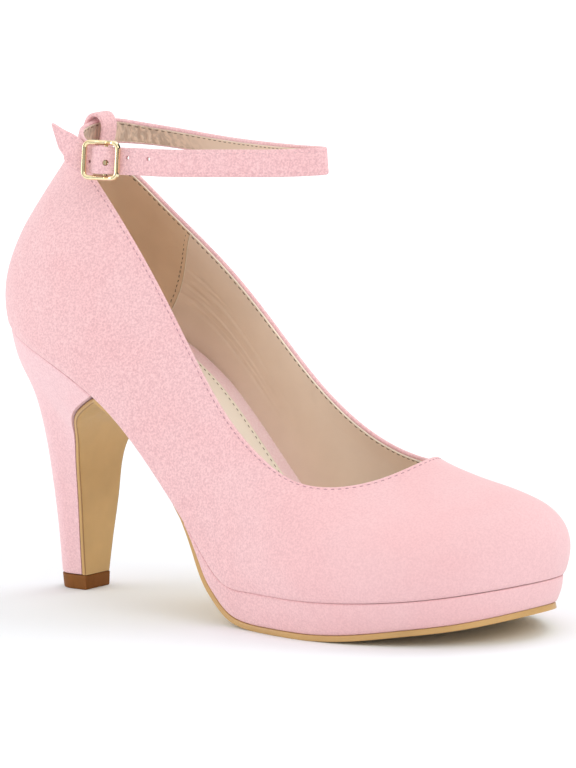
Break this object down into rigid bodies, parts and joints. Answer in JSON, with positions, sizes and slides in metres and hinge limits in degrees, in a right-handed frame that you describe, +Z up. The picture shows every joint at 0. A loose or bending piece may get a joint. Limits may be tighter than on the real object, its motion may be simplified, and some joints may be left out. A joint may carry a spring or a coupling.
{
  "type": "ankle strap pump",
  "caption": "Right high-heeled platform pump with a closed rounded toe, a covered heel and a buckled ankle strap held by a back loop.",
  "frame": {"origin": "middle of the top lift's underside, on the floor", "axes": "+X towards the toe, +Z up, -Y towards the outer side of the foot, where the buckle is"},
  "size_m": [0.2238, 0.0867, 0.1645],
  "materials": {
    "upper_suede": "pale pink suede, matte",
    "loop_suede": "pale pink suede, matte",
    "platform_suede": "pale pink suede, matte",
    "outsole_leather": "tan, smooth",
    "heel_suede": "pale pink suede, matte",
    "lift_rubber": "brown, matte",
    "insole_leather": "cream cushioned sock with a pink border",
    "strap_suede": "pale pink suede, beige lined",
    "frame_gilt": "polished gilt",
    "prong_gilt": "polished gilt"
  },
  "bodies": {
    "root": {"upper": "upper_suede", "back_loop": "loop_suede", "platform": "platform_suede", "outsole": "outsole_leather", "heel": "heel_suede", "top_lift": "lift_rubber", "insole": "insole_leather", "strap": "strap_suede", "buckle_frame": "frame_gilt", "buckle_prong": "prong_gilt"}
  },
  "joints": []
}
